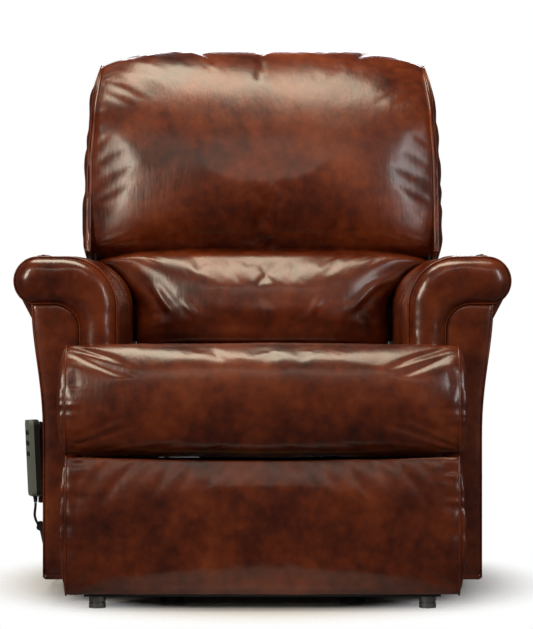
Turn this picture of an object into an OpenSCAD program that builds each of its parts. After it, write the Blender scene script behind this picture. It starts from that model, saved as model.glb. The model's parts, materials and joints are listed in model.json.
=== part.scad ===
// Lift recliner chair: X across the chair, -Y to the front, Z up, millimetres.
// The origin is on the floor under the middle of the chair.

/* [Chair] */
// Width over the arm rolls
chair_w = 860; // [820:1:900]
// Height of the highest point of the backrest
chair_h = 1037; // [1010:1:1060]
// Front of the seat roll, measured forward of the origin
front_reach = 450; // [446:1:460]
// Lean of the backrest at rest, in degrees
back_lean = 12; // [10:0.5:14]

/* [Arms] */
// Inner face of an arm, from the middle of the chair
arm_inner = 253; // [251:1:258]
// Outer face of an arm at its bottom
arm_outer_low = 380; // [374:1:386]
// Outer face of an arm just under its roll
arm_outer_high = 400; // [390:1:404]
// Height of the arm's top
arm_top = 601; // [590:1:604]
// Radius of the outer roll along the arm's top
arm_roll_r = 41; // [36:1:44]
// Radius of the arm's inner shoulder
arm_shoulder_r = 87; // [80:1:95]
// Gap between an arm's underside and the floor
arm_clear = 42; // [36:1:60]
// Thickness of an arm's padded cover
arm_wall = 12; // [8:1:16]

/* [Seat and footrest] */
// Half width of the seat roll in front of the arms
roll_half = 347; // [335:1:352]
// Height of the seat roll's top
roll_top = 454; // [440:1:460]
// Height of the seat roll's underside
roll_low = 262; // [260:1:264]
// Half width of the footrest pad
pad_half = 346; // [335:1:350]
// Height of the footrest pad's lower edge
pad_low = 25; // [24:1:40]
// Height of the seat cushion's underside
cushion_low = 292; // [290:1:300]

/* [Backrest] */
// Half width of the backrest at its wings
back_half = 353; // [340:1:356]
// Half width of the backrest between the arms
back_half_low = 247; // [240:1:248]
// Cushion depth in front of the backrest's pivot line
back_front = 146; // [120:1:150]

/* [Base] */
// Height of the base rails' underside
rail_low = 20; // [18:1:24]
// Height of the base rails' top
rail_top = 46; // [44:1:48]
// Diameter of a levelling foot
foot_d = 29; // [24:1:36]
// Diameter of a castor wheel
castor_d = 38; // [34:1:40]

/* [Hidden] */
$fn = 48;

// Running clearance of a pin in its hole
fit = 0.08;
// Gap left at a weld, so that the welded pieces stay separate solids
weld = 0.3;
plate = 8;
link_r = 11;

// Lanes: the inner face of each row of flat links, from the middle of the chair
lane_lug = 166;
lane_board_link = 176;
lane_drive = 186;
lane_rocker = 196;
lane_control = 206;
lane_rear_link = 218;
lane_lift_arm = 228;
lane_side = 238;

// Pivots, as [y, z]
lift_base = [-150, 85];
lift_seat = [180, 110];
rear_link_base = [-110, 109];
rear_link_seat = [318, 160];
lift_tube_r = 15;
lift_pin_r = 8;
pin_r = 6;
slim_pin_r = 5;

foot_shaft = [-330, 220];
foot_shaft_r = 10;
elbow = [-219, 91];
board_pivot = [-398, 155];
control_base = [-319.1, 253];
control_tail = [-211.1, 135.9];
board_link_base = [-216, 125];
board_link_tip = [-373.2, 200.6];

back_pivot = [205, 300];
lift_crank_r = 70;
lift_crank_angle = 80;
lift_motor_mount = [318, 80];
lift_motor_lane = -80;
back_crank_r = 70;
back_crank_angle = -70;
back_motor_mount = [-215, 235];
back_motor_lane = 80;
rod_r = 7;
back_tube = [265, 312];
front_tube = [-245, 235];
rear_tube = [320, 190];
tube_r = 12;

function polar(r, a) = [r * cos(a), r * sin(a)];
lift_crank_pin = lift_base + polar(lift_crank_r, lift_crank_angle);
back_crank_pin = back_pivot + polar(back_crank_r, back_crank_angle);

arm_front = -345;
arm_rear = 345;
arm_pad_t = 20;
arm_facing_t = 8;
arm_strip = 63;
arm_corner_r = 45;
arm_flare_low = 285;
arm_flare_steps = 8;
roll_under = 519;
roll_x = chair_w / 2 - arm_roll_r;
shoulder_x = arm_inner + arm_shoulder_r;
shoulder_z = arm_top - arm_shoulder_r;

pad_front = -front_reach;
pad_back = -430;
board_back = -418;
front_rail = [-412, -384];
rear_rail = [300, 340];
foot_x = 283;
castor_x = 157;
castor_y = -342;
castor_trail = 9;

cord_r = 2.3;
cord_sides = 8;
hs = [-411, -205, 244];
hs_turn = 15;
hs_lean = 2.63;
hs_half_w = 24;
hs_half_h = 68;
hs_half_t = 9;
button_rows = 3;
button_pitch = 19;
button_top = 46;
button_col = 9;

// Route of the handset's cord, from its strain relief through the clip to the gland
cord_route = [
    [-407.4, -205, 163.5], [-407.6, -205, 157], [-408.5, -205, 149], [-409, -204, 140],
    [-406.5, -201, 130], [-402, -196, 121], [-400, -188, 114], [-399.5, -174, 106],
    [-399, -156, 94], [-398, -132, 78], [-396.5, -104, 63], [-395, -72, 51], [-394, -36, 42],
    [-393, 2, 36], [-393, 40, 33], [-393, 78, 34], [-393, 114, 39], [-393, 146, 49],
    [-393, 173, 63], [-393, 193, 80], [-393, 206, 98], [-393, 213, 115], [-393, 215, 132]];

// ---------- helpers ----------

// Mirrored copies on both sides of the chair
module both_sides() {
    children();
    mirror([1, 0, 0]) children();
}

// One side's copy: +1 is +X, -1 is -X
module side(s) {
    if (s > 0) children();
    else mirror([1, 0, 0]) children();
}

// A [y, z] outline given a thickness along X
module along_x(x, t) {
    translate([x, 0, 0]) rotate([90, 0, 90]) linear_extrude(t) children();
}

// An [x, z] outline given a length along Y
module along_y(y0, y1) {
    translate([0, y1, 0]) rotate([90, 0, 0]) linear_extrude(y1 - y0) children();
}

// Flat bar with round ends, a touch wider than its shank
module bar2d(p, q, r) {
    d = (q - p) / norm(q - p);
    n = [-d[1], d[0]] * r * 0.97;
    translate(p) circle(r);
    translate(q) circle(r);
    polygon([p + n, q + n, q - n, p - n]);
}

module pin(x0, x1, p, r) {
    translate([x0, p[0], p[1]]) rotate([0, 90, 0]) cylinder(h = x1 - x0, r = r);
}

module rounded2d(w, h, r) {
    for (sx = [-1, 1], sy = [-1, 1])
        translate([sx * (w / 2 - r), sy * (h / 2 - r)]) circle(r);
    square([w - 2 * r, h], center = true);
    square([w, h - 2 * r], center = true);
}

module stadium2d(w, h) {
    for (s = [-1, 1]) translate([s * (w - h) / 2, 0]) circle(d = h);
    square([w - h, h], center = true);
}

// Slot along a crank's radius
module slot2d(p, angle, half, r) {
    translate(p) rotate(angle) stadium2d(2 * (half + r), 2 * r);
}

// Box tube of a given size with an open bore along its longest side
module box_tube(size, wall) {
    long = max(size);
    difference() {
        cube(size);
        translate([for (s = size) s == long ? -1 : wall]) cube([for (s = size) s == long ? s + 2 : s - 2 * wall]);
    }
}

// ---------- base ----------

module base_side_rails() {
    color([0.09, 0.09, 0.1]) both_sides()
        translate([205, front_rail[1], rail_low])
            box_tube([30, rear_rail[0] - front_rail[1], rail_top - rail_low], 3);
}

module base_cross_rails() {
    h = rail_top - rail_low;
    color([0.09, 0.09, 0.1]) {
        translate([-305, front_rail[0], rail_low]) box_tube([610, front_rail[1] - front_rail[0], h], 3);
        translate([-250, rear_rail[0], rail_low]) box_tube([500, rear_rail[1] - rear_rail[0], h], 3);
        // Low ends that carry the rear feet under the arms
        both_sides() translate([247, rear_rail[0], rail_low]) cube([58, rear_rail[1] - rear_rail[0], 16]);
        // Plates that carry the castors, on top of the front rail
        both_sides() translate([castor_x - 22, front_rail[1] - 20, rail_top + weld]) cube([44, 84, 4]);
        // Ears for the lift motor
        for (x = [-97, -71]) difference() {
            along_x(lift_motor_lane + x + 80, plate) {
                translate(lift_motor_mount) circle(link_r);
                translate([lift_motor_mount[0] - link_r, rail_top])
                    square([2 * link_r, lift_motor_mount[1] - rail_top]);
            }
            pin(lift_motor_lane - 30, lift_motor_lane + 30, lift_motor_mount, slim_pin_r);
        }
        pin(lift_motor_lane - 19, lift_motor_lane + 19, lift_motor_mount, slim_pin_r);
    }
}

module base_brackets() {
    color([0.12, 0.12, 0.13]) both_sides() {
        difference() {
            along_x(lane_control, plate) {
                translate(lift_base) circle(24);
                translate(rear_link_base) circle(14);
                polygon([[-178, rail_top], [-94, rail_top], [-96, 112], [-112, 123], [-150, 109], [-174, 85]]);
            }
            pin(lane_control - 1, lane_control + plate + 1, lift_base, lift_tube_r + fit);
        }
        pin(lane_control + plate, lane_rear_link + plate + 1, rear_link_base, pin_r);
    }
}

module levelling_feet() {
    color([0.45, 0.46, 0.47])
        for (x = [-foot_x, foot_x], y = [-398, 320]) translate([x, y, 0]) {
            cylinder(h = 9, d = foot_d);
            cylinder(h = rail_low, d = foot_d - 6);
            translate([0, 0, 11]) cylinder(h = rail_low - 11, d = foot_d);
        }
}

// Twin-wheel castor's hood, stem and middle web
module castor_housing(s) {
    color([0.05, 0.05, 0.055]) translate([s * castor_x, castor_y, 0]) {
        translate([0, 0, 40.5]) cylinder(h = rail_top - 40.5, r = 10);
        translate([-5, 0, 0]) difference() {
            along_x(0, 10) {
                translate([castor_trail, castor_d / 2 + 1.5]) circle(12);
                translate([-10, castor_d / 2 + 1.5]) square([30, 22]);
            }
            pin(-1, 11, [castor_trail, castor_d / 2 + 1.5], 4 + fit);
        }
    }
}

module castor_wheels(s) {
    color([0.05, 0.05, 0.055]) translate([s * castor_x, castor_y, 0]) {
        c = [castor_trail, castor_d / 2 + 1.5];
        pin(-21, 21, c, 4);
        for (x = [-21, 8]) pin(x, x + 13, c, castor_d / 2);
    }
}

// ---------- lift ----------

module lift_yoke() {
    color([0.16, 0.16, 0.17]) {
        pin(-lane_lift_arm - plate, lane_lift_arm + plate, lift_base, lift_tube_r);
        both_sides() difference() {
            along_x(lane_lift_arm, plate) {
                bar2d(lift_base, lift_seat, 14);
                translate(lift_base) circle(22);
                translate(lift_seat) circle(16);
            }
            pin(lane_lift_arm - 1, lane_side, lift_seat, lift_pin_r + fit);
            pin(lane_lift_arm - 1, lane_side, lift_base, lift_tube_r + weld);
        }
        for (x = [-16, 8]) difference() {
            along_x(lift_motor_lane + x, plate) {
                bar2d(lift_base, lift_crank_pin + polar(4, lift_crank_angle), 15);
                translate(lift_base) circle(22);
            }
            along_x(lift_motor_lane + x - 1, plate + 2)
                slot2d(lift_crank_pin, lift_crank_angle, 3, slim_pin_r + 4);
            pin(lift_motor_lane - 40, lift_motor_lane + 40, lift_base, lift_tube_r + weld);
        }
    }
}

module rear_lift_links() {
    color([0.16, 0.16, 0.17]) both_sides() difference() {
        along_x(lane_rear_link, plate) bar2d(rear_link_base, rear_link_seat, link_r);
        pin(lane_rear_link - 1, lane_rear_link + plate + 1, rear_link_base, pin_r + fit);
        pin(lane_rear_link - 1, lane_rear_link + plate + 1, rear_link_seat, pin_r + 0.3);
    }
}

// Stands a drive up from its mount towards its crank pin: Z runs along the rod
module drive_frame(lane, mount, target) {
    d = target - mount;
    translate([lane, mount[0], mount[1]]) rotate([-atan2(d[0], d[1]), 0, 0]) children();
}

// Linear drive: eye, gear housing, motor can beside it and outer tube
module drive_body(len, can_side) {
    difference() {
        union() {
            translate([-7.5, 0, 0]) rotate([0, 90, 0]) cylinder(h = 15, r = 11);
            translate([-7.5, -9, 0]) cube([15, 18, 22]);
            translate([-20, -20, 20]) cube([40, 40, 76]);
            translate([0, 0, 20]) cylinder(h = len - 20, r = 15);
            translate([can_side * 38, 0, 30]) cylinder(h = 128, r = 20);
            translate([can_side > 0 ? 10 : -40, -16, 30]) cube([30, 32, 60]);
        }
        translate([0, 0, 110]) cylinder(h = len, r = rod_r + fit);
        translate([-20, 0, 0]) rotate([0, 90, 0]) cylinder(h = 40, r = slim_pin_r + fit);
    }
}

// The drive's rod with its eye and cross pin
module drive_rod(len) {
    translate([0, 0, 170]) cylinder(h = len - 178, r = rod_r);
    translate([-6, 0, len]) rotate([0, 90, 0]) cylinder(h = 12, r = 10);
    translate([-17, 0, len]) rotate([0, 90, 0]) cylinder(h = 34, r = slim_pin_r);
}

lift_drive_len = norm(lift_crank_pin - lift_motor_mount);
back_drive_len = norm(back_crank_pin - back_motor_mount);

module lift_motor() {
    color([0.07, 0.07, 0.075])
        drive_frame(lift_motor_lane, lift_motor_mount, lift_crank_pin) drive_body(lift_drive_len - 60, 1);
}

module lift_rod() {
    color([0.7, 0.71, 0.72])
        drive_frame(lift_motor_lane, lift_motor_mount, lift_crank_pin) drive_rod(lift_drive_len);
}

// ---------- seat ----------

module seat_side_plates() {
    color([0.14, 0.14, 0.15]) both_sides() {
        along_x(lane_side, plate) {
            translate([-364, 228]) square([697, 34]);
            translate(control_base) circle(12);
            polygon([[-345, 262], [-293, 262], [-309, 289], [-345, 289]]);
            translate([120, 262]) square([22, 27]);
            translate(back_pivot) circle(18);
            polygon([[165, 262], [245, 262], [222, 306], [188, 306]]);
            translate(lift_seat) circle(18);
            translate(rear_link_seat) circle(14);
            polygon([[163, 228], [333, 228], [332, 160], [322, 147], [187, 93], [162, 108]]);
        }
        pin(lane_control - 1, lane_side, control_base, pin_r);
        pin(lane_lift_arm - 1, lane_side, lift_seat, lift_pin_r);
        pin(lane_rear_link - 1, lane_side, rear_link_seat, pin_r);
        pin(lane_lift_arm - 1, lane_side, back_pivot, lift_pin_r);
        // Blocks that the arms bolt to
        for (y = [-300, 260]) translate([lane_side + plate, y, 230]) cube([arm_inner - lane_side - plate, 50, 30]);
    }
}

module seat_crossmembers() {
    color([0.14, 0.14, 0.15]) {
        pin(-lane_side, lane_side, front_tube, tube_r);
        pin(-lane_side, lane_side, rear_tube, tube_r);
        // Flat bar under the springs, and the two bars that the springs hook on
        translate([-lane_side, -20, 256]) cube([2 * lane_side, 40, 5]);
        for (y = [spring_y0 - 12, spring_y0 + spring_turns * spring_step + 2])
            translate([-lane_side, y, 264]) cube([2 * lane_side, 10, 25]);
        // Bearings of the footrest's drive shaft
        both_sides() difference() {
            along_x(lane_lug, plate) {
                bar2d(foot_shaft, front_tube, 16);
            }
            pin(lane_lug - 1, lane_lug + plate + 1, foot_shaft, foot_shaft_r + fit);
            pin(lane_lug - 1, lane_lug + plate + 1, front_tube, tube_r + weld);
        }
        // Ears of the back motor
        for (x = [-17, 9]) difference() {
            along_x(back_motor_lane + x, plate) bar2d(front_tube, back_motor_mount, 15);
            pin(back_motor_lane - 30, back_motor_lane + 30, front_tube, tube_r + weld);
        }
        pin(back_motor_lane - 19, back_motor_lane + 19, back_motor_mount, slim_pin_r);
    }
}

// Zigzag springs, each one wire of straight runs and half turns
spring_count = 5;
spring_pitch = 79;
spring_turns = 8;
spring_step = 57;
spring_z = 286;
spring_y0 = -332;

module spring_wire() {
    for (i = [0:spring_turns]) translate([-15, i * spring_step, 0])
        rotate([0, 90, 0]) cylinder(h = 30, r = 2);
    for (i = [0:spring_turns - 1]) translate([i % 2 == 0 ? 15 : -15, (i + 0.5) * spring_step, 0])
        rotate([0, 0, i % 2 == 0 ? -90 : 90]) rotate_extrude(angle = 180)
            translate([spring_step / 2, 0]) circle(2);
}

module seat_springs() {
    color([0.6, 0.6, 0.62]) for (i = [0:spring_count - 1])
        translate([(i - (spring_count - 1) / 2) * spring_pitch, spring_y0, spring_z]) spring_wire();
}

module seat_front_board() {
    color([0.62, 0.46, 0.3]) translate([-250, -364, roll_low + 6])
        cube([500, 16, 170]);
}

module seat_cushion() {
    color([0.28, 0.12, 0.06]) along_x(-250, 500) {
        translate([-316, 418]) circle(30);
        polygon([[-346, cushion_low], [150, cushion_low], [150, 432], [-316, 448], [-346, 418]]);
    }
}

module seat_front_roll() {
    back = -366;
    top_r = 60;
    low_r = 40;
    f = pad_front;
    color([0.28, 0.12, 0.06]) along_x(-roll_half, 2 * roll_half) intersection() {
        union() {
            translate([f + top_r, roll_top - top_r]) circle(top_r);
            translate([f + low_r, roll_low + low_r]) circle(low_r);
            polygon([[f, roll_low + low_r], [back, roll_low + low_r], [back, roll_top - top_r], [f, roll_top - top_r]]);
            polygon([[f + low_r, roll_low], [back, roll_low], [back, roll_low + low_r], [f + low_r, roll_low + low_r]]);
        }
        translate([f, roll_low]) square([back - f, roll_top - roll_low]);
    }
}

module rear_panel() {
    color([0.27, 0.12, 0.06]) difference() {
        translate([-250, 334, 60]) cube([500, 10, 212]);
        translate([-165, 330, 195]) rotate([-90, 0, 0]) cylinder(h = 20, r = 11);
    }
}

module control_box() {
    color([0.07, 0.07, 0.08]) translate([110, -55, 222]) cube([76, 110, 34]);
}

// Supply case behind the rear tube's left half, with its round inlet through the rear panel
module power_supply() {
    color([0.07, 0.07, 0.08]) difference() {
        union() {
            translate([-205, 222, 160]) cube([80, 84, 50]);
            translate([-205, 222, 204]) cube([80, 110, 12]);
            translate([-165, 300, 195]) rotate([-90, 0, 0]) cylinder(h = 48, r = 10);
        }
        translate([-165, 336, 195]) rotate([-90, 0, 0]) cylinder(h = 20, r = 4);
        pin(-210, -120, rear_tube, tube_r + weld);
    }
}

// ---------- arms ----------

// Outer edge of an arm below its roll: upright, then flaring out
arm_flare = [for (i = [0:arm_flare_steps])
    let (u = i / arm_flare_steps, k = pow(u * u * (3 - 2 * u), 1.3))
    [arm_outer_low + (arm_outer_high - arm_outer_low) * k,
     arm_flare_low + (roll_under + 1 - arm_flare_low) * u]];

// Front view of an arm, drawn in by t
module arm_profile(t) {
    intersection() {
        translate([shoulder_x, shoulder_z]) circle(arm_shoulder_r - t);
        translate([arm_inner, shoulder_z]) square([arm_shoulder_r + 5, arm_shoulder_r]);
    }
    translate([roll_x, arm_top - arm_roll_r]) circle(arm_roll_r - t);
    polygon([[shoulder_x, roll_under + t], [roll_x, roll_under + t], [roll_x, arm_top - t], [shoulder_x, arm_top - t]]);
    polygon(concat([[arm_inner + t, arm_clear + t], [arm_outer_low - t, arm_clear + t]],
        [for (p = arm_flare) [p[0] - t, p[1] - t / 4]],
        [[shoulder_x, shoulder_z + 5 - t / 4], [arm_inner + t, shoulder_z]]));
}

// Whole arm, drawn in by t: its top slopes down behind the backrest
module arm_body(t) {
    intersection() {
        along_y(arm_front - 1, arm_rear + 1) arm_profile(t);
        along_x(0, chair_w) polygon([[arm_front, 0], [arm_rear - t, 0], [arm_rear - t, 400 - t],
            [190 - t, arm_top + 1], [arm_front, arm_top + 1]]);
    }
}

module arm_cover(s) {
    color([0.29, 0.13, 0.065]) side(s) difference() {
        arm_body(0);
        arm_body(arm_wall);
    }
}

// Timber inside an arm
module arm_frame(s) {
    t = arm_wall + 0.5;
    color([0.62, 0.46, 0.3]) side(s) {
        along_y(arm_front, arm_front + 16) arm_profile(t);
        translate([arm_inner + t, arm_front + 16, arm_clear + t]) cube([92, 656, 20]);
        translate([arm_inner + t, arm_front + 16, 230]) cube([20, 656, 60]);
        translate([300, arm_front + 16, 470]) cube([70, 440, 20]);
        for (y = [-310, 60]) translate([320, y, arm_clear + t + 20]) cube([20, 40, 395.5]);
        translate([320, 300, arm_clear + t + 20]) cube([20, 30, 250]);
    }
}

// Part of the front view that the padded crook leaves free for the facing
module arm_facing_area(gap) {
    x = arm_inner + arm_strip + gap;
    z = roll_under + 2 - gap;
    r = arm_corner_r;
    translate([x + r, z - r]) circle(r);
    translate([x + r, 0]) square([100, z]);
    translate([x, 0]) square([100 + r, z - r]);
}

module arm_front_pad(s) {
    color([0.3, 0.14, 0.07]) side(s) along_y(arm_front - arm_pad_t, arm_front) difference() {
        arm_profile(0);
        arm_facing_area(0);
    }
}

module arm_facing(s) {
    color([0.27, 0.12, 0.06]) side(s) along_y(arm_front - arm_facing_t, arm_front) intersection() {
        arm_profile(0);
        arm_facing_area(0.4);
    }
}

// ---------- pocket, handset hook, cord ----------

module side_pocket() {
    y0 = -172;
    y1 = -20;
    z0 = 160;
    z1 = 282;
    color([0.25, 0.11, 0.055]) {
        translate([-406, y0, z0]) cube([3, y1 - y0, z1 - z0]);
        for (y = [y0, y1 - 3]) along_y(y, y + 3)
            polygon([[-403, z0], [-arm_outer_low - 0.4, z0], [-arm_outer_low - 0.4, z1], [-403, z1]]);
        translate([-403, y0, z0]) cube([22.6 - (arm_outer_low - 380), y1 - y0, 3]);
    }
}

// The handset's own frame: its keys face -X and it hangs along the arm's flare
module handset_frame() {
    translate(hs) rotate([0, -hs_lean, 0]) rotate([0, 0, hs_turn]) children();
}

// Channel on the arm that the handset's tongue drops into
module handset_hook() {
    color([0.1, 0.1, 0.11]) {
        handset_frame() {
            translate([10.2, -12, 36]) cube([1.6, 24, 12]);
            translate([10.2, -12, 34]) cube([6.4, 24, 2]);
            translate([15, -12, 34]) cube([1.6, 24, 30]);
        }
        difference() {
            translate([-396, -212, 284]) cube([20, 18, 24]);
            handset_frame() translate([0, -30, 0]) cube([15.8, 60, 70]);
            side(-1) arm_body(-0.2);
        }
    }
}

module cable_clip() {
    color([0.05, 0.05, 0.055]) difference() {
        union() {
            translate([-400.2, -196, 117.5]) rotate([-60, 0, 0]) cylinder(h = 12, r = 6.5);
            translate([-400, -193, 109]) cube([24, 10, 12]);
        }
        side(-1) arm_body(-0.2);
    }
}

module cord_gland() {
    color([0.05, 0.05, 0.055]) difference() {
        union() {
            translate([-399, 215, 150]) rotate([0, 90, 0]) cylinder(h = 24, r = 8);
            translate([-393, 215, 132.2]) cylinder(h = 16, r = 4.6);
        }
        side(-1) arm_body(-0.2);
    }
}

function unit(v) = v / norm(v);
// Point on the smooth curve through the route's points, at u of the way from point i to the next
function route_at(p, i, u) =
    let (n = len(p) - 1,
         a = p[max(i - 1, 0)], b = p[i], c = p[min(i + 1, n)], d = p[min(i + 2, n)])
    0.5 * ((2 * b) + (c - a) * u + (2 * a - 5 * b + 4 * c - d) * u * u
        + (3 * b - a - 3 * c + d) * u * u * u);
cord_step = 3;
cord_line = [for (i = [0:len(cord_route) - 2], k = [0:cord_step - 1]) route_at(cord_route, i, k / cord_step),
    cord_route[len(cord_route) - 1]];

module handset_cord() {
    n = len(cord_line);
    rings = [for (i = [0:n - 1])
        let (t = unit(cord_line[min(i + 1, n - 1)] - cord_line[max(i - 1, 0)]),
             a = unit(cross(t, [1, 0, 0])), b = cross(a, t))
        for (k = [0:cord_sides - 1])
            cord_line[i] + cord_r * (a * cos(360 * k / cord_sides) + b * sin(360 * k / cord_sides))];
    faces = concat(
        [[for (k = [0:cord_sides - 1]) k]],
        [for (i = [0:n - 2], k = [0:cord_sides - 1])
            [i * cord_sides + k, (i + 1) * cord_sides + k,
             (i + 1) * cord_sides + (k + 1) % cord_sides, i * cord_sides + (k + 1) % cord_sides]],
        [[for (k = [cord_sides - 1:-1:0]) (n - 1) * cord_sides + k]]);
    color([0.04, 0.04, 0.045]) polyhedron(rings, faces, convexity = 8);
}

// ---------- backrest ----------

// The backrest's own frame: Y to its rear and Z up its length, from the pivot
module back_frame_axes() {
    translate([0, back_pivot[0], back_pivot[1]]) rotate([-back_lean, 0, 0]) children();
}

// World [y, z] seen in the backrest's own frame
function in_back(p) = let (d = p - back_pivot)
    [d[0] * cos(back_lean) - d[1] * sin(back_lean), d[0] * sin(back_lean) + d[1] * cos(back_lean)];

wing_low = 306;
wing_top = 640;
// The backrest narrows by back_taper on each side from back_taper_w up to the wings' top
back_taper_w = 480;
back_taper = 14;
back_crown = 40;
back_top_w = (chair_h - back_pivot[1] - back_crown * sin(back_lean)) / cos(back_lean);

// Timber frame of the backrest
module back_frame() {
    color([0.62, 0.46, 0.3]) back_frame_axes() {
        both_sides() {
            translate([202, 58, -5]) cube([26, 26, 700]);
            // Side rails of the wings
            translate([300, 58, wing_low + 10]) cube([24, 26, 340]);
        }
        for (w = [wing_low + 14, 600]) {
            translate([weld - 202, 62, w]) cube([404 - 2 * weld, 18, 30]);
            both_sides() translate([228 + weld, 62, w]) cube([72 - 2 * weld, 18, 30]);
        }
    }
}

// Steel hinge plates, lower tube and the crank that the back motor pulls
module back_hinge_brackets() {
    tube = in_back(back_tube);
    crank = in_back(back_crank_pin);
    color([0.14, 0.14, 0.15]) back_frame_axes() {
        both_sides() {
            difference() {
                along_x(lane_lift_arm, plate) {
                    circle(18);
                    polygon([[-12, -12], [84, -12], [84, 120], [58, 120], [-14, 12]]);
                }
                pin(lane_lift_arm - 1, lane_lift_arm + plate + 1, [0, 0], lift_pin_r + fit);
            }
        }
        pin(-202, 202, tube, tube_r);
        for (x = [-17, 9]) difference() {
            along_x(back_motor_lane + x, plate) bar2d(tube, crank + (crank - tube) * 0.04, 15);
            pin(back_motor_lane - 30, back_motor_lane + 30, tube, tube_r + weld);
            along_x(back_motor_lane + x - 1, plate + 2)
                slot2d(crank, back_crank_angle + back_lean, 2.4, slim_pin_r + 2.3);
        }
    }
}

module back_webbing() {
    color([0.12, 0.11, 0.1]) back_frame_axes()
        for (w = [160:70:580]) translate([-228, 55, w]) cube([456, 2.6, 45]);
}

// Head cushion in front view: straight sides under an arched top
module head_outline(half, low, top) {
    r = 1150;
    intersection() {
        translate([0, top - r]) circle(r, $fn = 180);
        union() {
            translate([-half, low]) square([2 * half, back_taper_w - low]);
            polygon([[-half, back_taper_w - 1], [half, back_taper_w - 1], [half - back_taper, top - 100],
                [half - back_taper - 20, top + 5], [-half + back_taper + 20, top + 5], [-half + back_taper, top - 100]]);
        }
    }
}

module head_cushion() {
    f = -back_front;
    top = back_top_w;
    color([0.3, 0.14, 0.07]) back_frame_axes() intersection() {
        along_y(f, 52) head_outline(back_half - 15, wing_low, top);
        along_x(-back_half, 2 * back_half) polygon([[f - 1, wing_low + 8], [f + 20, wing_low - 1], [53, wing_low - 1],
            [53, top], [-back_crown, top], [f + 46, top - 35], [f - 1, top - 110]]);
    }
}

module back_wing(s) {
    h = back_half;
    color([0.27, 0.12, 0.06]) side(s) back_frame_axes() along_y(-back_front + 20, 82)
        polygon([[h - 13, wing_low], [h, wing_low], [h, back_taper_w], [h - back_taper, wing_top],
            [h - back_taper - 13, wing_top], [h - 13, back_taper_w]]);
}

module lumbar_cushion() {
    color([0.28, 0.12, 0.06]) difference() {
        back_frame_axes() {
            translate([-back_half_low, -back_front - 4, 148]) cube([2 * back_half_low, back_front + 56, 152]);
            // Ends that spread over the arms' shoulders
            translate([-back_half + 18, -back_front + 6, 225]) cube([2 * back_half - 36, back_front + 46, 75]);
        }
        both_sides() arm_body(-3);
    }
}

module back_rear_cover() {
    color([0.27, 0.12, 0.06]) back_frame_axes() along_y(85, 89) {
        head_outline(back_half, wing_low, back_top_w - 12);
        translate([-back_half_low + 20, -5]) square([2 * back_half_low - 40, wing_low + 6]);
        translate([-back_half_low - 15, 165]) square([2 * back_half_low + 30, wing_low - 164]);
    }
}

module back_motor() {
    color([0.07, 0.07, 0.075])
        drive_frame(back_motor_lane, back_motor_mount, back_crank_pin) drive_body(back_drive_len - 74, -1);
}

module back_rod() {
    color([0.7, 0.71, 0.72])
        drive_frame(back_motor_lane, back_motor_mount, back_crank_pin) drive_rod(back_drive_len);
}

// ---------- footrest ----------

module footrest_drive_shaft() {
    color([0.17, 0.17, 0.18]) {
        pin(-lane_drive - plate, lane_drive + plate, foot_shaft, foot_shaft_r);
        both_sides() {
            difference() {
                along_x(lane_drive, plate) {
                    bar2d(foot_shaft, elbow, link_r);
                    bar2d(elbow, board_link_base, link_r - 1);
                    translate(foot_shaft) circle(14);
                }
                pin(lane_drive - 1, lane_drive + plate + 1, foot_shaft, foot_shaft_r + weld);
            }
            pin(lane_drive + plate, lane_rocker + plate + weld, elbow, pin_r);
            pin(lane_board_link - 1, lane_drive, board_link_base, slim_pin_r);
        }
    }
}

module footrest_rocker_links() {
    color([0.17, 0.17, 0.18]) both_sides() {
        difference() {
            along_x(lane_rocker, plate) {
                bar2d(elbow, board_pivot, link_r);
                bar2d(elbow, control_tail, link_r - 2);
            }
            pin(lane_rocker - 1, lane_rocker + plate + 1, elbow, pin_r + fit);
            pin(lane_rocker - 1, lane_rocker + plate + 1, board_pivot, pin_r + fit);
        }
        pin(lane_rocker + plate, lane_control + plate + 1, control_tail, slim_pin_r);
    }
}

module footrest_control_links() {
    color([0.17, 0.17, 0.18]) both_sides() difference() {
        along_x(lane_control, plate) bar2d(control_base, control_tail, 9);
        pin(lane_control - 1, lane_control + plate + 1, control_base, pin_r + fit);
        pin(lane_control - 1, lane_control + plate + 1, control_tail, slim_pin_r + 0.7);
    }
}

module footrest_board_links() {
    color([0.17, 0.17, 0.18]) both_sides() {
        difference() {
            along_x(lane_board_link, plate) bar2d(board_link_base, board_link_tip, 9);
            pin(lane_board_link - 1, lane_board_link + plate + 1, board_link_base, slim_pin_r + fit);
        }
        pin(lane_lug - 1, lane_board_link, board_link_tip, slim_pin_r);
    }
}

// Ear on the back of the footrest board, round about p
module lug2d(p, r) {
    translate(p) circle(r);
    translate([board_back + weld, p[1] - r]) square([p[0] - board_back - weld, 2 * r]);
}

module footrest_board() {
    color([0.6, 0.45, 0.3]) translate([-pad_half + 16, pad_back, 62])
        cube([2 * pad_half - 32, board_back - pad_back, 188]);
    color([0.17, 0.17, 0.18]) both_sides() {
        along_x(lane_control, plate) lug2d(board_pivot, link_r);
        pin(lane_rocker - 1, lane_control, board_pivot, pin_r);
        difference() {
            along_x(lane_lug, plate) lug2d(board_link_tip, 13);
            pin(lane_lug - 1, lane_lug + plate + 1, board_link_tip, slim_pin_r + 3.4);
        }
    }
}

module footrest_pad() {
    color([0.28, 0.12, 0.06]) along_x(-pad_half, 2 * pad_half) {
        polygon([[pad_front + 8, pad_low], [pad_back, pad_low], [pad_back, 258], [pad_front + 8, 258],
            [pad_front, 250], [pad_front, pad_low + 8]]);
    }
}

// ---------- handset ----------

// Outline of the handset's face, taken in by t
module handset_outline(t) {
    rounded2d(2 * (hs_half_w - t), 2 * (hs_half_h - t), 9 - t);
}

function button_at(i) = [(i % 2 == 0 ? -1 : 1) * button_col, button_top - floor(i / 2) * button_pitch];

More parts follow.
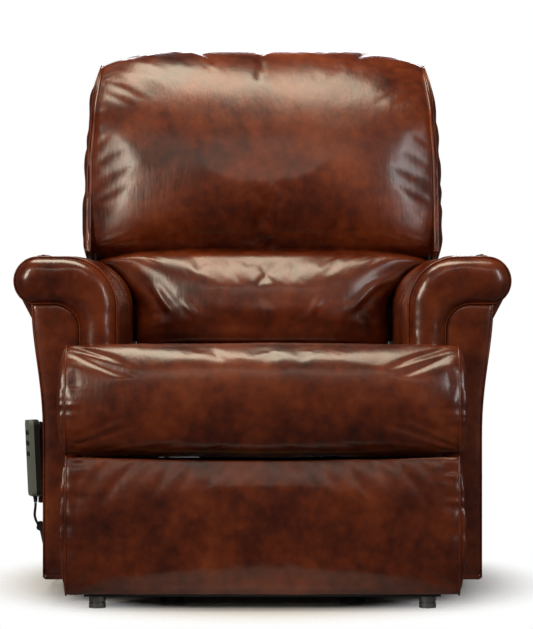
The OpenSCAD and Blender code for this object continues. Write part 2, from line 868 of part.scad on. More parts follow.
module handset_front_shell() {
    color([0.38, 0.41, 0.38]) handset_frame() difference() {
        along_x(-hs_half_t, 8) handset_outline(0);
        along_x(-hs_half_t + 2, 8) handset_outline(2);
        for (i = [0:2 * button_rows - 1])
            along_x(-hs_half_t - 1, 4) translate(button_at(i)) stadium2d(13, 9);
    }
}

module handset_rear_shell() {
    color([0.04, 0.04, 0.045]) handset_frame() {
        difference() {
            along_x(-0.9, hs_half_t + 0.9) handset_outline(0);
            along_x(-1.9, hs_half_t + 0.9) handset_outline(2);
        }
        // Tongue that drops into the channel on the arm
        translate([12.6, -9, 38]) cube([1.6, 18, 14]);
        translate([hs_half_t, -9, 50]) cube([5.2, 18, 2]);
    }
}

module handset_circuit_board() {
    color([0.1, 0.3, 0.15]) handset_frame()
        translate([-2.6, -hs_half_w + 3, -hs_half_h + 6]) cube([1.6, 2 * hs_half_w - 6, 2 * hs_half_h - 12]);
}

module handset_strain_relief() {
    color([0.04, 0.04, 0.045]) handset_frame() translate([0, 0, -hs_half_h - 12]) {
        cylinder(h = 7, r = 3.4);
        translate([0, 0, 5]) cylinder(h = 7, r = 4.6);
    }
}

module handset_button(i) {
    color([0.13, 0.15, 0.14]) handset_frame() {
        along_x(-hs_half_t - 1.4, 4.4) translate(button_at(i)) stadium2d(12, 8);
        along_x(-hs_half_t + 2.2, 1.2) translate(button_at(i)) stadium2d(15, 11);
    }
}

// ---------- output ----------

base_side_rails();
base_cross_rails();
base_brackets();
levelling_feet();
castor_housing(-1);  // castor_housing_left
castor_housing(1);  // castor_housing_right
castor_wheels(-1);  // castor_wheels_left
castor_wheels(1);  // castor_wheels_right
lift_yoke();
rear_lift_links();
lift_motor();
lift_rod();
seat_side_plates();
seat_crossmembers();
seat_springs();
seat_front_board();
seat_cushion();
seat_front_roll();
rear_panel();
control_box();
power_supply();
arm_frame(-1);  // arm_frame_left
arm_frame(1);  // arm_frame_right
arm_cover(-1);  // arm_cover_left
arm_cover(1);  // arm_cover_right
arm_front_pad(-1);  // arm_front_pad_left
arm_front_pad(1);  // arm_front_pad_right
arm_facing(-1);  // arm_facing_left
arm_facing(1);  // arm_facing_right
side_pocket();
handset_hook();
cable_clip();
cord_gland();
handset_cord();
back_frame();
back_hinge_brackets();
back_webbing();
head_cushion();
lumbar_cushion();
back_wing(-1);  // back_wing_left
back_wing(1);  // back_wing_right
back_rear_cover();
back_motor();
back_rod();
footrest_drive_shaft();
footrest_rocker_links();
footrest_control_links();
footrest_board_links();
footrest_board();
footrest_pad();
handset_front_shell();
handset_rear_shell();
handset_circuit_board();
handset_strain_relief();
handset_button(0);  // handset_button_1
handset_button(1);  // handset_button_2
handset_button(2);  // handset_button_3
handset_button(3);  // handset_button_4
handset_button(4);  // handset_button_5
handset_button(5);  // handset_button_6
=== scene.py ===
import json
import math

import bpy
import numpy as np
from mathutils import Matrix, Vector


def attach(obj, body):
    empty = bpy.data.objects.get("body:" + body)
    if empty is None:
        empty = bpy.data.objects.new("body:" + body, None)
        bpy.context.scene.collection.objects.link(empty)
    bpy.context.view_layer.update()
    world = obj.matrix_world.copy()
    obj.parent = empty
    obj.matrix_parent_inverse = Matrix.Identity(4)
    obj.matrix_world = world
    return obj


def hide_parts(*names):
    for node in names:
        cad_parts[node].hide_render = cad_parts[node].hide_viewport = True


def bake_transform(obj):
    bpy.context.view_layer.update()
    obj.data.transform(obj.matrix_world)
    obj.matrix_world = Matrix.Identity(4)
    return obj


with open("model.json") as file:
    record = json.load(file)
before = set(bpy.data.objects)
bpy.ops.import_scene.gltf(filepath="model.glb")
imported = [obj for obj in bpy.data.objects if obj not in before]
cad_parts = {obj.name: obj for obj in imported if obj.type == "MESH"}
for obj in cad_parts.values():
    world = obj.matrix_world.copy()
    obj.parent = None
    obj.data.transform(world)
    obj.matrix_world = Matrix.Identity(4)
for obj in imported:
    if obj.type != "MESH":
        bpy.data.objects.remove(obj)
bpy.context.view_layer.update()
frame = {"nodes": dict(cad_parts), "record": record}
nodes = frame["nodes"]
scene = bpy.context.scene


# ---------- camera ----------

camera = bpy.data.objects.new("camera", bpy.data.cameras.new("camera"))
scene.collection.objects.link(camera)
scene.camera = camera
camera.data.lens = 135.3
camera.data.sensor_width = 36
camera.data.shift_x = 0.0064
camera.data.shift_y = -0.0167
camera.data.clip_end = 60
camera.location = (0, -4.45, 0.52)
camera.rotation_euler = (math.radians(90), 0, 0)


# ---------- mesh helpers ----------

def new_object(name, verts, faces):
    mesh = bpy.data.meshes.new(name)
    mesh.from_pydata([tuple(map(float, v)) for v in verts], [], [tuple(map(int, f)) for f in faces])
    mesh.validate()
    mesh.polygons.foreach_set("use_smooth", [True] * len(mesh.polygons))
    obj = bpy.data.objects.new(name, mesh)
    scene.collection.objects.link(obj)
    return obj


def coords(obj):
    co = np.zeros(len(obj.data.vertices) * 3)
    obj.data.vertices.foreach_get("co", co)
    return co.reshape(-1, 3)


def set_coords(obj, co):
    obj.data.vertices.foreach_set("co", np.asarray(co, float).ravel())
    obj.data.update()


def normals(obj):
    obj.data.update()
    n = np.zeros(len(obj.data.vertices) * 3)
    obj.data.vertices.foreach_get("normal", n)
    return n.reshape(-1, 3)


def loft(name, rings):
    """Closed skin over rings of equal length, its two ends closed by a fan."""
    rings = np.asarray(rings, float)
    count, around, _ = rings.shape
    verts = np.concatenate([rings.reshape(-1, 3), rings[[0, -1]].mean(1)])
    r, p = np.meshgrid(np.arange(count - 1), np.arange(around), indexing="ij")
    q = (p + 1) % around
    here, above = r * around, (r + 1) * around
    faces = np.stack([here + p, here + q, above + q, above + p], -1).reshape(-1, 4).tolist()
    first, last = count * around, count * around + 1
    top = (count - 1) * around
    for k in range(around):
        n = (k + 1) % around
        faces.append((first, n, k))
        faces.append((last, top + k, top + n))
    obj = new_object(name, verts, faces)
    # Turn the skin outwards when the rings run the other way
    volume = sum(Vector(verts[f[0]]).dot(Vector(verts[f[1]]).cross(Vector(verts[f[2]]))) for f in faces)
    if volume < 0:
        obj.data.flip_normals()
    return obj


def spline(a, b, c, d, u):
    """Smooth curve from b to c, with a and d as their neighbours."""
    cubic = 3 * b - a - 3 * c + d
    return 0.5 * (2 * b + (c - a) * u + (2 * a - 5 * b + 4 * c - d) * u ** 2 + cubic * u ** 3)


def closed_curve(points, count):
    """Even points on a smooth closed curve through the given ones."""
    pts = np.asarray(points, float)
    out = []
    for i in range(len(pts)):
        a, b, c, d = (pts[(i + k) % len(pts)] for k in (-1, 0, 1, 2))
        u = np.linspace(0, 1, 24, endpoint=False)[:, None]
        out.append(spline(a, b, c, d, u))
    return even(np.concatenate(out), count, True)


def even(points, count, closed):
    """Points at equal steps along a line."""
    pts = np.asarray(points, float)
    if closed:
        pts = np.concatenate([pts, pts[:1]])
    length = np.concatenate([[0], np.cumsum(np.linalg.norm(np.diff(pts, axis=0), axis=1))])
    at = np.linspace(0, length[-1], count + 1)[:-1] if closed else np.linspace(0, length[-1], count)
    return np.stack([np.interp(at, length, pts[:, k]) for k in range(pts.shape[1])], 1)


def tube(name, path, radius, closed=False, sides=8):
    """Round cord of a given radius along a line of points."""
    path = np.asarray(path, float)
    count = len(path)
    if closed:
        tangent = np.roll(path, -1, 0) - np.roll(path, 1, 0)
    else:
        tangent = np.gradient(path, axis=0)
    tangent /= np.linalg.norm(tangent, axis=1)[:, None] + 1e-12
    side = np.cross(tangent[0], [0.3, 0.5, 0.81])
    frames = []
    for t in tangent:
        side = side - t * side.dot(t)
        side /= np.linalg.norm(side) + 1e-12
        frames.append(side)
    frames = np.array(frames)
    other = np.cross(tangent, frames)
    angle = np.linspace(0, 2 * np.pi, sides, endpoint=False)
    radius = np.broadcast_to(radius, (count,))
    rings = path[:, None] + radius[:, None, None] * (
        frames[:, None] * np.cos(angle)[None, :, None] + other[:, None] * np.sin(angle)[None, :, None])
    if not closed:
        return loft(name, rings)
    faces = []
    for r in range(count):
        for k in range(sides):
            here, above, beside = r * sides, (r + 1) % count * sides, (k + 1) % sides
            faces.append((here + k, here + beside, above + beside, above + k))
    return new_object(name, rings.reshape(-1, 3), faces)


# Odd factors that scatter whole numbers for the noise
SCATTER = np.array([374761393, 668265263, 2147483647])
REMIX = 1274126177


def value_noise(p, seed=0):
    """Smooth noise from 0 to 1 at points p, the same on each run."""
    cell = np.floor(p).astype(np.int64)
    f = p - cell
    f = f * f * (3 - 2 * f)
    total = 0
    for dx in (0, 1):
        for dy in (0, 1):
            for dz in (0, 1):
                h = ((cell + (dx, dy, dz)) * SCATTER).sum(1) + seed * REMIX
                h = (h ^ (h >> 13)) * REMIX & 0x7FFFFFFF
                h = ((h ^ (h >> 16)) & 0xFFFF) / 65535.0
                weight = np.abs(1 - dx - f[:, 0]) * np.abs(1 - dy - f[:, 1]) * np.abs(1 - dz - f[:, 2])
                total = total + h * weight
    return total


def smooth(x, low, high):
    """Climbs smoothly from 0 at low to 1 at high."""
    u = np.clip((x - low) / (high - low), 0, 1)
    return u * u * (3 - 2 * u)


def inflate(obj, held, pressure=4.0, grow=0.0, cap=0.024, frames=20, stiff=14, quality=5):
    """Swells a closed skin with Blender's cloth, its held points fixed, and keeps the result."""
    start = coords(obj)
    group = obj.vertex_groups.new(name="held")
    group.add([int(i) for i in np.nonzero(held)[0]], 1.0, "REPLACE")
    cloth = obj.modifiers.new("cloth", "CLOTH")
    s = cloth.settings
    s.quality = quality
    s.mass = 0.3
    s.tension_stiffness = s.compression_stiffness = stiff
    s.shear_stiffness = stiff * 0.4
    s.bending_stiffness = 0.4
    s.air_damping = 2.5
    s.vertex_group_mass = "held"
    s.shrink_min = -grow
    s.use_pressure = True
    s.uniform_pressure_force = pressure
    s.effector_weights.gravity = 0
    cloth.collision_settings.use_collision = False
    cloth.point_cache.frame_start = 1
    cloth.point_cache.frame_end = frames
    for f in range(1, frames + 1):
        scene.frame_set(f)
    shape = obj.evaluated_get(bpy.context.evaluated_depsgraph_get())
    moved = np.zeros(len(obj.data.vertices) * 3)
    shape.data.vertices.foreach_get("co", moved)
    obj.modifiers.remove(cloth)
    obj.vertex_groups.remove(group)
    scene.frame_set(1)
    step = moved.reshape(-1, 3) - start
    length = np.linalg.norm(step, axis=1)
    step *= (np.minimum(length, cap) / np.maximum(length, 1e-9))[:, None]
    set_coords(obj, start + step)


def refine(obj, levels=1):
    sub = obj.modifiers.new("finer", "SUBSURF")
    sub.levels = sub.render_levels = levels


def finish_piece(obj, body, material, slot, *replaced):
    obj.data.materials.append(material)
    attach(obj, body)
    if replaced:
        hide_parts(*replaced)
    return obj


# ---------- cord ----------

# Route of the handset's cord: out of its strain relief, through the clip, along the arm and up into the gland
CORD = [(-0.4074, -0.205, 0.1635), (-0.4076, -0.205, 0.157), (-0.4085, -0.205, 0.149),
        (-0.409, -0.204, 0.140), (-0.4065, -0.201, 0.130), (-0.402, -0.196, 0.121), (-0.400, -0.188, 0.114),
        (-0.3995, -0.174, 0.106), (-0.399, -0.156, 0.094), (-0.398, -0.132, 0.078), (-0.3965, -0.104, 0.063),
        (-0.395, -0.072, 0.051), (-0.394, -0.036, 0.042), (-0.393, 0.002, 0.036), (-0.393, 0.040, 0.033),
        (-0.393, 0.078, 0.034), (-0.393, 0.114, 0.039), (-0.393, 0.146, 0.049), (-0.393, 0.173, 0.063),
        (-0.393, 0.193, 0.080), (-0.393, 0.206, 0.098), (-0.393, 0.213, 0.115), (-0.393, 0.215, 0.132)]


def open_curve(points, step):
    """Smooth open line through the given points, starting and ending on them."""
    pts = np.asarray(points, float)
    pts = np.concatenate([2 * pts[:1] - pts[1:2], pts, 2 * pts[-1:] - pts[-2:-1]])
    out = []
    for i in range(1, len(pts) - 2):
        a, b, c, d = pts[i - 1:i + 3]
        u = np.linspace(0, 1, step, endpoint=False)[:, None]
        out.append(spline(a, b, c, d, u))
    return np.concatenate(out + [pts[-2:-1]])


cord_line = even(open_curve(CORD, 12), 150, False)
handset_cord = tube("handset_cord_flex", cord_line, 0.0023, sides=12)
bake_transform(handset_cord)
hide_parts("handset_cord")


# ---------- materials ----------

def material(name):
    mat = bpy.data.materials.new(name)
    mat.use_nodes = True
    tree = mat.node_tree
    return mat, tree, tree.nodes["Principled BSDF"]


def add(tree, kind, inputs=(), **settings):
    node = tree.nodes.new(kind)
    for key, value in settings.items():
        setattr(node, key, value)
    for key, value in dict(inputs).items():
        if isinstance(value, bpy.types.NodeSocket):
            tree.links.new(value, node.inputs[key])
        else:
            node.inputs[key].default_value = value
    return node


def place(tree, scale=(1, 1, 1), turn=(0, 0, 0)):
    """Position on the object in metres, stretched by scale."""
    where = add(tree, "ShaderNodeTexCoord")
    return add(tree, "ShaderNodeMapping", {"Vector": where.outputs["Object"], "Scale": scale,
                                           "Rotation": turn}).outputs[0]


def noise_at(tree, vector, scale, detail=4.0, roughness=0.55, distortion=0.0):
    inputs = {"Vector": vector, "Scale": scale, "Detail": detail, "Roughness": roughness,
              "Distortion": distortion}
    return add(tree, "ShaderNodeTexNoise", inputs).outputs[0]


def stretched(tree, value, low, high, start=0.0, end=1.0):
    """Maps a value that runs from start to end onto low to high."""
    limits = {"From Min": start, "From Max": end, "To Min": low, "To Max": high}
    return add(tree, "ShaderNodeMapRange", {"Value": value, **limits})


def ramp(tree, value, *stops):
    node = add(tree, "ShaderNodeValToRGB", {"Fac": value})
    elements = node.color_ramp.elements
    while len(elements) < len(stops):
        elements.new(0.5)
    for element, (at, colour) in zip(elements, stops):
        element.position = at
        element.color = (*colour, 1) if len(colour) == 3 else (colour[0],) * 3 + (1,)
    return node.outputs[0]


def bumps(tree, shader, *layers):
    """Stacks bump layers, each (height socket, strength, distance)."""
    below = None
    for height, strength, distance in layers:
        inputs = {"Height": height, "Strength": strength, "Distance": distance}
        if below is not None:
            inputs["Normal"] = below
        below = add(tree, "ShaderNodeBump", inputs).outputs[0]
    tree.links.new(below, shader.inputs["Normal"])


def leather(name, shade=1.0, glow=1.0, streak=(1.0, 1.0, 0.22), gloss=0.0):
    """Polished antique leather: mottled red brown over near black, fine creases and pores."""
    mat, tree, shader = material(name)
    plain = place(tree)
    drawn = place(tree, streak)
    clouds = noise_at(tree, plain, 9.0, 6.0, 0.58, 0.0)
    speckle = noise_at(tree, plain, 52.0, 2.0, 0.50, 0.0)
    flecks = add(tree, "ShaderNodeMath", {0: speckle, 1: 0.36}, operation="MULTIPLY").outputs[0]
    mixed = add(tree, "ShaderNodeMath", {0: clouds, 1: flecks}, operation="ADD").outputs[0]
    dark, mid, light, worn = ((0.028, 0.0034, 0.0006), (0.084, 0.0114, 0.0015), (0.152, 0.0240, 0.0030),
                              (0.230, 0.0440, 0.0064))
    tone = [tuple(c * shade for c in t) for t in (dark, mid, light, worn)]
    tree.links.new(ramp(tree, mixed, (0.42, tone[0]), (0.60, tone[1]), (0.76, tone[2]), (0.94, tone[3])),
                   shader.inputs["Base Color"])
    creases = noise_at(tree, drawn, 190.0, 1.0, 0.5, 0.0)
    pores = add(tree, "ShaderNodeTexVoronoi", {"Vector": plain, "Scale": 620.0}).outputs["Distance"]
    pull = noise_at(tree, drawn, 60.0, 2.0, 0.5, 0.0)
    gloss_map = stretched(tree, clouds, 0.28 + gloss, 0.36 + gloss, 0.3, 0.7)
    tree.links.new(gloss_map.outputs[0], shader.inputs["Roughness"])
    bumps(tree, shader, (pull, 0.40, 0.0012), (creases, 0.45, 0.0005), (pores, 0.06, 0.0001))
    shader.inputs["IOR"].default_value = 1.52
    shader.inputs["Coat Weight"].default_value = 0.35 * glow
    shader.inputs["Coat Roughness"].default_value = 0.22
    return mat


def coated_steel(name, colour, roughness, metallic, grain=900.0, strength=0.12, patch=0.35):
    """Painted, plated or bare metal with a fine surface and uneven dulling."""
    mat, tree, shader = material(name)
    plain = place(tree)
    dull = noise_at(tree, plain, 14.0, 5.0, 0.6)
    dark = tuple(c * (1 - patch) for c in colour)
    tree.links.new(ramp(tree, dull, (0.3, dark), (0.7, colour)), shader.inputs["Base Color"])
    spread = stretched(tree, dull, roughness + 0.12, roughness, 0.3, 0.7)
    tree.links.new(spread.outputs[0], shader.inputs["Roughness"])
    shader.inputs["Metallic"].default_value = metallic
    bumps(tree, shader, (noise_at(tree, plain, grain, 2.0), strength, 0.0004))
    return mat


def moulded(name, colour, roughness=0.45, grain=1500.0):
    """Moulded plastic with a fine spark-eroded grain."""
    return coated_steel(name, colour, roughness, 0.0, grain, 0.10, 0.12)


def wood(name):
    mat, tree, shader = material(name)
    along = place(tree, (14.0, 14.0, 1.2))
    grain = {"Vector": along, "Scale": 1.6, "Distortion": 5.0, "Detail": 3.0, "Detail Scale": 1.4}
    rings = add(tree, "ShaderNodeTexWave", grain).outputs[1]
    tree.links.new(ramp(tree, rings, (0.1, (0.36, 0.21, 0.10)), (0.6, (0.55, 0.37, 0.20)),
                        (0.95, (0.62, 0.44, 0.26))), shader.inputs["Base Color"])
    shader.inputs["Roughness"].default_value = 0.68
    bumps(tree, shader, (rings, 0.15, 0.0006))
    return mat


def woven(name, colour):
    mat, tree, shader = material(name)
    a = add(tree, "ShaderNodeTexWave", {"Vector": place(tree), "Scale": 420.0},
            bands_direction="X").outputs[1]
    b = add(tree, "ShaderNodeTexWave", {"Vector": place(tree), "Scale": 420.0},
            bands_direction="Z").outputs[1]
    both = add(tree, "ShaderNodeMath", {0: a, 1: b}, operation="MULTIPLY").outputs[0]
    tree.links.new(ramp(tree, both, (0.0, tuple(c * 0.4 for c in colour)), (0.8, colour)),
                   shader.inputs["Base Color"])
    shader.inputs["Roughness"].default_value = 0.85
    bumps(tree, shader, (both, 0.4, 0.0006))
    return mat


hide = leather("leather")
hide_back = leather("leather_back", 0.98)
hide_arm = leather("leather_arm", 1.05, 1.25, gloss=-0.05)
hide_dark = leather("leather_side", 0.85)
hide_welt = leather("leather_welt", 1.25, 0.8, (1, 1, 1), 0.0)

finishes = {
    "black_frame_steel": coated_steel("frame_steel", (0.020, 0.020, 0.022), 0.38, 0.0),
    "link_steel": coated_steel("link_steel", (0.050, 0.050, 0.053), 0.34, 0.35),
    "rod_steel": coated_steel("rod_steel", (0.62, 0.62, 0.64), 0.16, 1.0, 2400.0, 0.04, 0.15),
    "motor_case": moulded("motor_case", (0.022, 0.022, 0.024), 0.5),
    "foot_metal": coated_steel("foot_metal", (0.30, 0.31, 0.32), 0.34, 0.8),
    "spring_steel": coated_steel("spring_steel", (0.36, 0.36, 0.38), 0.32, 0.9),
    "castor_plastic": moulded("castor_plastic", (0.020, 0.020, 0.022), 0.42),
    "timber": wood("timber"),
    "leather": hide,
    "padding": woven("padding", (0.45, 0.43, 0.38)),
    "webbing": woven("webbing", (0.05, 0.045, 0.04)),
    "black_plastic": moulded("black_plastic", (0.016, 0.016, 0.018), 0.36),
    "handset_grey": moulded("handset_grey", (0.26, 0.31, 0.275), 0.40),
    "button_dark": moulded("button_dark", (0.022, 0.028, 0.026), 0.5),
    "board_green": moulded("board_green", (0.02, 0.10, 0.04), 0.4),
    "cord_black": moulded("cord_black", (0.014, 0.014, 0.016), 0.46),
}
slot_of = {part["node"]: part["material_slot"] for part in frame["record"]["subparts"]}
for name, node in nodes.items():
    node.data.materials.clear()
    node.data.materials.append(finishes[slot_of[name]])


# ---------- backrest ----------

LEAN = math.radians(12)
BACK_PIVOT = (0, 0.205, 0.300)
back_axes = Matrix.Translation(Vector(BACK_PIVOT)) @ Matrix.Rotation(-LEAN, 4, "X")


def from_back(points):
    """Points given as (across, rearward, up) in the backrest's own frame, in the row frame."""
    m = np.array(back_axes)
    return np.asarray(points) @ m[:3, :3].T + m[:3, 3]


def to_back(points):
    """Points of the row frame, in the backrest's own frame."""
    m = np.array(back_axes)
    return (points - m[:3, 3]) @ m[:3, :3]


# How far the backrest's top edge drops at a distance from the middle
CROWN_DROP, CROWN_HALF = 0.041, 0.322


def crown_drop(x):
    return CROWN_DROP * (np.abs(x) / CROWN_HALF) ** 4.5


def back_taper(w):
    """How much the backrest narrows on each side at a height up its length."""
    return 0.0065 * smooth(w, 0.46, 0.60) + 0.0085 * smooth(w, 0.60, 0.74)


def seam_drop(x):
    """How far the seam between head and lumbar cushion drops towards the sides."""
    return 0.014 * (np.abs(x) / 0.33) ** 2


def end_stations(inner, outs):
    """Station list (t, scale, outward push) from one closed end over the body to the other."""
    left = [(-1.0, s, -o) for s, o in outs[::-1]]
    right = [(1.0, s, o) for s, o in outs]
    return left + [(t, 1.0, 0.0) for t in inner] + right


def stack(profile, stations, centre):
    """Rings (t, a, b, push) of a profile scaled about its centre at each station."""
    rings = []
    for t, s, push in stations:
        flat = centre + (profile - centre) * s
        rings.append(np.column_stack([np.full(len(flat), t), flat, np.full(len(flat), push)]))
    return np.array(rings)


GUSSET = [(0.985, 0.3), (0.955, 0.62), (0.90, 0.84), (0.82, 0.95), (0.70, 1.0), (0.55, 1.0), (0.40, 1.0),
          (0.25, 1.0), (0.10, 1.0), (0.02, 1.0)]

head_profile = closed_curve([(0.048, 0.312), (-0.02, 0.309), (-0.09, 0.309), (-0.122, 0.314), (-0.138, 0.334),
                             (-0.146, 0.39), (-0.147, 0.46), (-0.143, 0.54), (-0.133, 0.60), (-0.118, 0.652),
                             (-0.099, 0.698), (-0.072, 0.731), (-0.040, 0.746), (0.0, 0.749), (0.034, 0.745),
                             (0.049, 0.732), (0.051, 0.62), (0.051, 0.45)], 150)
HEAD_HALF = 0.336
head_stations = end_stations(np.linspace(-1, 1, 83), GUSSET)
head = stack(head_profile, head_stations, np.array([-0.045, 0.52]))
t, v, w, push = head[..., 0], head[..., 1], head[..., 2], head[..., 3]
x = t * (HEAD_HALF - back_taper(w))
front = smooth(-v, 0.0, 0.12)
lower_half, low_edge = smooth(-w, -0.62, -0.40), smooth(-w, -0.42, -0.31)
sweep = 0.012 * np.abs(t) ** 8 + 0.022 * np.abs(t) ** 4 * lower_half + 0.008 * np.abs(t) ** 2 * low_edge
v = v + front * sweep
crown = crown_drop(x) * smooth(w, 0.50, 0.74)
w = w - crown + (0.014 - seam_drop(x)) * smooth(-w, -0.45, -0.31)
head_cushion = loft("head_cushion_cover", from_back(np.stack([x + 0.006 * push, v, w], -1)))
rings, around = head.shape[:2]
index = np.arange(rings * around).reshape(rings, around)
seam_left, seam_right = len(GUSSET), rings - len(GUSSET) - 1
held = np.zeros(len(head_cushion.data.vertices), bool)
held[index[[seam_left, seam_right]].ravel()] = True
held[index[:seam_left].ravel()] = held[index[seam_right:].ravel()] = True
held[index[:, head_profile[:, 0] > 0.02].ravel()] = True
held[-2:] = True
inflate(head_cushion, held, pressure=5.0, grow=0.007, cap=0.016)


def ring_line(obj, index, ring, lift=0.0):
    """Points along one ring of a lofted piece, pushed out along its normals."""
    return coords(obj)[index[ring]] + normals(obj)[index[ring]] * lift


def mottle(obj, amount, size, seed):
    """Slack that lets a padded face undulate slightly."""
    co, n = coords(obj), normals(obj)
    h = value_noise(co / size, seed) + 0.5 * value_noise(co / (size * 0.45), seed + 7) - 0.75
    set_coords(obj, co + n * (amount * h)[:, None])


def pucker(obj, lines, reach, amount, pitch, seed):
    """Gathers the skin near its seams, with folds running away from each seam."""
    co, n = coords(obj), normals(obj)
    lines = [even(line, 240, False) for line in lines]
    shift = np.zeros(len(co))
    for k, line in enumerate(lines):
        d = np.linalg.norm(co[:, None, :] - line[None], axis=2)
        near = d.argmin(1)
        d = d[np.arange(len(co)), near]
        length = np.concatenate([[0], np.cumsum(np.linalg.norm(np.diff(line, axis=0), axis=1))])
        where = np.column_stack([length[near] / pitch, d / (pitch * 5), np.full(len(co), 3.7 * k)])
        ridge = 1 - np.abs(2 * value_noise(where, seed + k) - 1) * 2
        none = np.zeros(len(co))
        gather = value_noise(np.column_stack([length[near] / (pitch * 2.3), none, none]), seed + 31)
        reach_here = reach * (0.35 + 1.3 * gather)
        shift += amount * ridge * np.exp(-((d - 0.25 * reach) / reach_here) ** 2) * smooth(d, 0.0, 0.006)
    set_coords(obj, co + n * shift[:, None])


seams = [ring_line(head_cushion, index, seam_left), ring_line(head_cushion, index, seam_right)]
mottle(head_cushion, 0.0022, 0.09, 3)
pucker(head_cushion, seams, 0.020, 0.0012, 0.012, 11)
refine(head_cushion)
finish_piece(head_cushion, "back", hide_back, "leather", "head_cushion")
for side, ring in (("left", seam_left), ("right", seam_right)):
    welt = tube(f"head_cushion_welt_{side}", ring_line(head_cushion, index, ring, 0.0015), 0.0032,
                closed=True)
    finish_piece(welt, "back", hide_welt, "leather")


def wing(side, sign):
    """Puffed gusset on one side of the backrest, gathered along its front seam."""
    outline = closed_curve([(-0.110, 0.302), (0.0, 0.300), (0.070, 0.302), (0.082, 0.32), (0.083, 0.48),
                            (0.080, 0.62), (0.066, 0.680), (0.020, 0.700), (-0.042, 0.701), (-0.080, 0.684),
                            (-0.106, 0.620), (-0.117, 0.46), (-0.116, 0.32)], 132)
    centre = np.array([-0.015, 0.47])
    scales = [0.03, 0.2, 0.5, 0.75, 0.9, 0.97, 0.99, 1.0, 1.0, 0.995, 0.975, 0.94, 0.89, 0.82, 0.74, 0.64,
              0.52, 0.40, 0.28, 0.16, 0.05]
    out = [0, 0, 0, 0, 0, 0, 0.0, 0.001, 0.0035, 0.006, 0.0085, 0.0105, 0.012, 0.0128, 0.0133, 0.0135,
           0.0135, 0.0135, 0.0135, 0.0135, 0.0135]
    rings = []
    for s, o in zip(scales, out):
        flat = centre + (outline - centre) * np.array([s if s > 0.9 else 1 - (1 - s) * 0.93, s])
        outward = 0.3345 + 1.3 * o * smooth(-flat[:, 1], -0.705, -0.62) - back_taper(flat[:, 1])
        rings.append(np.column_stack([outward, flat]))
    rings = np.array(rings)
    rings[..., 0] *= sign
    obj = loft(f"backrest_gusset_{side}", from_back(rings))
    co, n = coords(obj), normals(obj)
    local = to_back(co)
    slanted = local[:, 2] / 0.019 + 0.3 * local[:, 1] / 0.02
    fold = value_noise(np.column_stack([slanted, local[:, 1] / 0.10, np.full(len(co), sign * 5.0)]), 5)
    fade = np.exp(-np.maximum(local[:, 1] + 0.10, 0) / 0.07)
    rim = smooth(np.abs(local[:, 0]), 0.335, 0.342)
    set_coords(obj, co + n * (0.0042 * (fold - 0.5) * (0.35 + fade) * rim)[:, None])
    refine(obj)
    finish_piece(obj, "back", hide_dark, "leather", f"back_wing_{side}")
    edge = from_back(rings[9])
    welt = tube(f"backrest_gusset_welt_{side}", edge + np.array([sign * 0.001, 0, 0]), 0.0017, closed=True)
    finish_piece(welt, "back", hide_welt, "leather")


wing("left", -1)
wing("right", 1)

lumbar_profile = closed_curve([(0.046, 0.298), (0.0, 0.302), (-0.06, 0.303), (-0.105, 0.300), (-0.130, 0.288),
                               (-0.143, 0.266), (-0.148, 0.235), (-0.149, 0.200), (-0.148, 0.165),
                               (-0.141, 0.138), (-0.124, 0.125), (-0.08, 0.130), (0.0, 0.146), (0.046, 0.155),
                               (0.049, 0.225)], 110)
ROUND = [(0.97, 0.35), (0.90, 0.65), (0.80, 0.85), (0.66, 0.96), (0.5, 1.0), (0.32, 1.0), (0.15, 1.0),
         (0.03, 1.0)]
lumbar = stack(lumbar_profile, end_stations(np.linspace(-1, 1, 77), ROUND), np.array([-0.045, 0.228]))
t, v, w, push = lumbar[..., 0], lumbar[..., 1], lumbar[..., 2], lumbar[..., 3]
height = BACK_PIVOT[2] + w * math.cos(LEAN) - v * math.sin(LEAN)
# Over the arms' shoulders the cushion spreads to the backrest's full width
above = np.maximum(height, 0.514) - 0.514
half = np.where(height < 0.514, 0.244, 0.338 - np.sqrt(np.maximum(0.0925 ** 2 - above ** 2, 0)))
half = np.minimum(np.maximum(half, 0.244), 0.330)
curl = 1 - np.sqrt(np.maximum(1 - np.abs(t) ** 5, 0))
v = v + smooth(-v, -0.02, 0.10) * (0.062 * curl) + 0.006 * t ** 2
w = w + (0.018 - seam_drop(t * half)) * smooth(w, 0.24, 0.298) - 0.003
lumbar_cushion = loft("lumbar_cushion_cover", from_back(np.stack([t * half + 0.004 * push, v, w], -1)))
rings, around = lumbar.shape[:2]
lumbar_index = np.arange(rings * around).reshape(rings, around)
held = np.zeros(len(lumbar_cushion.data.vertices), bool)
held[lumbar_index[:len(ROUND)].ravel()] = held[lumbar_index[-len(ROUND):].ravel()] = True
held[lumbar_index[:, lumbar_profile[:, 0] > 0.0].ravel()] = True
held[lumbar_index[:, (lumbar_profile[:, 1] < 0.156)].ravel()] = True
held[-2:] = True
inflate(lumbar_cushion, held, pressure=4.0, grow=0.006, cap=0.008)
co, n = coords(lumbar_cushion), normals(lumbar_cushion)
local = to_back(co)
shift = np.zeros(len(co))
